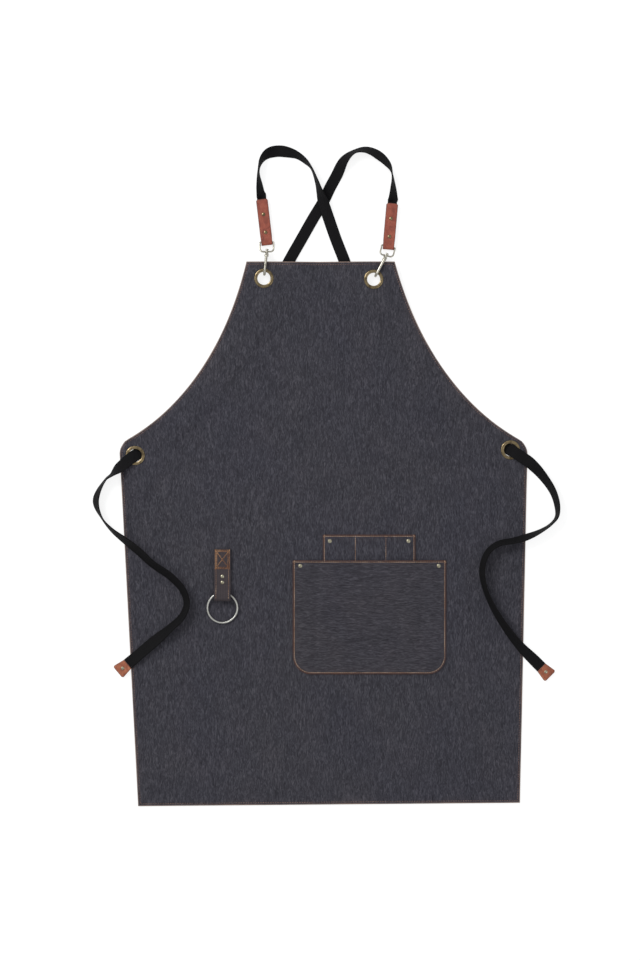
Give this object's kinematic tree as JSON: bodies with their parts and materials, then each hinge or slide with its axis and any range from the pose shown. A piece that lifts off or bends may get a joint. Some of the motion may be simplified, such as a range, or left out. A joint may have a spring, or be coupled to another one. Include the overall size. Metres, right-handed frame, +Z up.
{
  "type": "cross-back work apron",
  "caption": "Waxed cloth work apron laid flat, with cross-back webbing straps, leather tabs, swivel snap hooks in grommets, patch pockets and a tool loop with ring.",
  "frame": {"origin": "on the surface the apron lies on, under the middle of the apron without its free webbing", "axes": "+Z up out of the apron's front as it lies, +Y towards the bib, +X to the right seen from the front"},
  "size_m": [0.6885, 0.9759, 0.0203],
  "materials": {
    "waxed_cloth": "matt waxed cotton, charcoal",
    "loop_webbing": "matt heavy webbing, dark grey with rust edges",
    "black_webbing": "matt black cotton webbing",
    "leather": "oiled red-brown leather",
    "antique_brass": "aged brass, satin",
    "nickel": "satin nickel plate",
    "spring_steel": "plain spring steel"
  },
  "bodies": {
    "apron": {"apron_panel": "waxed_cloth", "pencil_pocket": "waxed_cloth", "main_pocket": "waxed_cloth", "grommet_bib_left_eyelet": "antique_brass", "grommet_bib_left_washer": "antique_brass", "grommet_bib_right_eyelet": "antique_brass", "grommet_bib_right_washer": "antique_brass", "grommet_waist_left_eyelet": "antique_brass", "grommet_waist_left_washer": "antique_brass", "grommet_waist_right_eyelet": "antique_brass", "grommet_waist_right_washer": "antique_brass", "main_pocket_rivet_left_cap": "antique_brass", "main_pocket_rivet_left_back": "antique_brass", "main_pocket_rivet_right_cap": "antique_brass", "main_pocket_rivet_right_back": "antique_brass", "pencil_pocket_rivet_left_cap": "antique_brass", "pencil_pocket_rivet_left_back": "antique_brass", "pencil_pocket_rivet_right_cap": "antique_brass", "pencil_pocket_rivet_right_back": "antique_brass", "tool_loop_rivet_upper_cap": "antique_brass", "tool_loop_rivet_upper_back": "antique_brass", "tool_loop_rivet_lower_cap": "antique_brass", "tool_loop_rivet_lower_back": "antique_brass", "tool_loop": "loop_webbing", "left_tab": "leather", "left_tab_rivet_upper_cap": "antique_brass", "left_tab_rivet_upper_back": "antique_brass", "left_tab_rivet_lower_cap": "antique_brass", "left_tab_rivet_lower_back": "antique_brass", "left_eye": "nickel", "right_tab": "leather", "right_tab_rivet_upper_cap": "antique_brass", "right_tab_rivet_upper_back": "antique_brass", "right_tab_rivet_lower_cap": "antique_brass", "right_tab_rivet_lower_back": "antique_brass", "right_eye": "nickel", "left_strap": "black_webbing", "left_tip": "leather", "left_tip_rivet_cap": "antique_brass", "left_tip_rivet_back": "antique_brass", "right_strap": "black_webbing", "right_tip": "leather", "right_tip_rivet_cap": "antique_brass", "right_tip_rivet_back": "antique_brass"},
    "tool_ring": {"tool_ring": "nickel"},
    "left_hook": {"left_hook_body": "nickel", "left_gate_pin": "nickel", "left_gate_spring": "spring_steel"},
    "left_gate": {"left_gate": "nickel"},
    "right_hook": {"right_hook_body": "nickel", "right_gate_pin": "nickel", "right_gate_spring": "spring_steel"},
    "right_gate": {"right_gate": "nickel"}
  },
  "joints": [
    {"name": "tool_ring_swing", "type": "hinge", "parent": "apron", "child": "tool_ring", "pos_m": [-0.14941, -0.13556, 0.00806], "axis": [-1, 0, 0], "range_deg": [0, 168]},
    {"name": "left_hook_swivel", "type": "hinge", "parent": "apron", "child": "left_hook", "pos_m": [-0.088, 0.33068, 0.0082], "axis": [0.1115, 0.9938, 0], "range_deg": [-10, 10]},
    {"name": "left_gate_hinge", "type": "hinge", "parent": "left_hook", "child": "left_gate", "pos_m": [-0.08412, 0.36528, 0.0022], "axis": [-0.9938, 0.1115, 0], "range_deg": [0, 15], "stiffness_Nm_per_rad": 0.05, "springref_deg": -11.46},
    {"name": "right_hook_swivel", "type": "hinge", "parent": "apron", "child": "right_hook", "pos_m": [0.07382, 0.32918, 0.0082], "axis": [0.4695, 0.8829, 0], "range_deg": [-10, 10]},
    {"name": "right_gate_hinge", "type": "hinge", "parent": "right_hook", "child": "right_gate", "pos_m": [0.09017, 0.35992, 0.0022], "axis": [-0.8829, 0.4695, 0], "range_deg": [0, 15], "stiffness_Nm_per_rad": 0.05, "springref_deg": -11.46}
  ]
}
